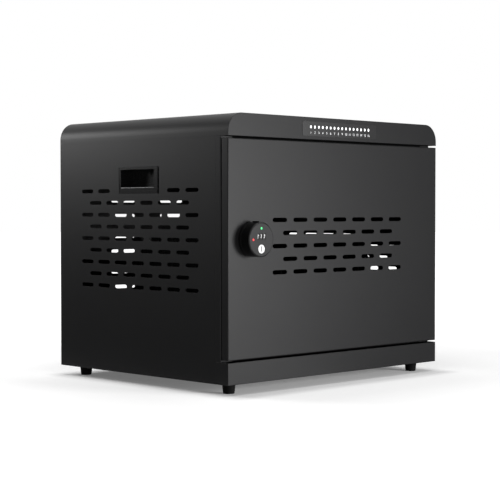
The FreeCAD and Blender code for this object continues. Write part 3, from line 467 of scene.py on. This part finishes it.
# the floor keeps the shadow near the cabinet and is lifted to white away from it, by the given stops; the stops
# also paint shade and light: the lift stays low within about half a metre of the footprint, a painted soft grey
# shade around the cabinet, and peaks just outside the footprint, a painted light that narrows the rim of its
# shadow
studioFloor = {"size": (28.0, 28.0), "tone": "#f2f2f2", "roughness": 0.9, "footprint": (0.27, 0.235, 0.0),
               "whiteAt": 1.5, "liftAndPaintedShadeStops": ((0.0, 0.14), (0.02, 0.36), (0.07, 0.3), (0.25, 0.31),
                                             (0.5, 0.6), (1.0, 1.0))}
floorPaint, floorTree, floorShader, floorPlace = startMaterial("paleStudioFloor")
floorShader.inputs["Base Color"].default_value = hexToLinear(studioFloor["tone"])
floorShader.inputs["Roughness"].default_value = studioFloor["roughness"]
floorShader.inputs["Specular IOR Level"].default_value = 0.0
away = addNode(floorTree, "VectorMath", {"operation": "ABSOLUTE"}, {0: floorPlace})
away = addNode(floorTree, "VectorMath", {"operation": "SUBTRACT", 1: studioFloor["footprint"]},
               {0: away.outputs["Vector"]})
away = addNode(floorTree, "VectorMath", {"operation": "MAXIMUM", 1: (0.0, 0.0, 0.0)}, {0: away.outputs["Vector"]})
away = addNode(floorTree, "VectorMath", {"operation": "LENGTH"}, {0: away.outputs["Vector"]})
away = addNode(floorTree, "MapRange", {"From Max": studioFloor["whiteAt"]}, {"Value": away.outputs["Value"]})
fade = addNode(floorTree, "ValToRGB", {}, {"Fac": away.outputs["Result"]})
ramp = fade.color_ramp.elements
for position, level in studioFloor["liftAndPaintedShadeStops"][1:-1]:
    ramp.new(position)
for stop, (position, level) in zip(ramp, studioFloor["liftAndPaintedShadeStops"]):
    stop.position = position
    stop.color = (level, level, level, 1.0)
lift = addNode(floorTree, "Math", {"operation": "MULTIPLY"}, {0: cameraSees(floorTree), 1: fade.outputs["Color"]})
floorShader.inputs["Emission Color"].default_value = white
floorTree.links.new(lift.outputs[0], floorShader.inputs["Emission Strength"])
floor = addPlane("floor", Matrix(), studioFloor["size"], floorPaint)

studioWorld = {"ambient": 0.25, "seen": 1.0}
world = bpy.data.worlds.new("studio")
bpy.context.scene.world = world
world.use_nodes = True
worldTree = world.node_tree
background = worldTree.nodes["Background"]
glow = addNode(worldTree, "MapRange", {"To Min": studioWorld["ambient"], "To Max": studioWorld["seen"]},
               {"Value": cameraSees(worldTree)})
background.inputs["Color"].default_value = white
worldTree.links.new(glow.outputs["Result"], background.inputs["Strength"])

softboxes = {
    "frontRightSoftbox": {"at": (0.66, -2.2, 0.33), "towards": (-0.3, -0.21, 0.33), "size": (0.76, 0.6),
                          "watts": 55.0},
    "backLeftSoftbox": {"at": (-0.74, 1.0, 0.68), "towards": (-0.27, 0.2, 0.4), "size": (0.4, 0.36), "watts": 5.6},
    "overheadSoftbox": {"at": (0.0, 0.0, 2.4), "towards": (0.0, 0.0, 0.0), "size": (2.0, 2.0), "watts": 26.0},
}
for name, spec in softboxes.items():
    light = bpy.data.lights.new(name, "AREA")
    light.shape = "RECTANGLE"
    light.size, light.size_y = spec["size"]
    light.energy = spec["watts"]
    lamp = bpy.data.objects.new(name, light)
    lamp.matrix_world = aimed(spec)
    lamp.visible_camera = False
    bpy.context.scene.collection.objects.link(lamp)

# black cloths that only reflections see, so that the dark paint shades off across each side
flags = {
    "leftFlag": {"at": (-2.2, 1.4, 1.0), "towards": (-0.27, 0.0, 1.0), "size": (5.0, 3.0)},
    "leftFloorFlag": {"at": (-1.75, 1.3, 0.002), "towards": (-1.75, 1.3, -1.0), "size": (2.9, 3.0)},
    "rightFloorFlag": {"at": (1.8, -0.95, 0.002), "towards": (1.8, -0.95, -1.0), "size": (3.5, 2.5)},
    "rightFlag": {"at": (2.4, -0.85, 1.0), "towards": (0.1, -0.65, 1.0), "size": (3.9, 3.0)},
    "frontFlag": {"at": (0.54, -0.7, 0.6), "towards": (0.54, 1.0, 0.6), "size": (0.42, 1.6)},
}
flagTone = "#0a0a0a"
flagCloth, _, flagShader, _ = startMaterial("blackFlagCloth")
flagShader.inputs["Base Color"].default_value = hexToLinear(flagTone)
for name, spec in flags.items():
    flag = addPlane(name, aimed(spec), spec["size"], flagCloth)
    flag.visible_camera = flag.visible_diffuse = flag.visible_shadow = flag.visible_transmission = False

cameraSetup = {"at": (-1.8474, -1.8629, 0.3026), "turnDegrees": 44.557, "tiltDegrees": -1.612,
               "lensMm": 101.93, "sensorMm": 36.0}
lens = bpy.data.cameras.new("camera")
lens.lens = cameraSetup["lensMm"]
lens.sensor_width = cameraSetup["sensorMm"]
camera = bpy.data.objects.new("camera", lens)
camera.location = cameraSetup["at"]
camera.rotation_euler = (math.radians(90 + cameraSetup["tiltDegrees"]), 0,
                         math.radians(-cameraSetup["turnDegrees"]))
bpy.context.scene.collection.objects.link(camera)
bpy.context.scene.camera = camera
bpy.context.scene.view_settings.view_transform = "Standard"
print("stage, lights and camera set")
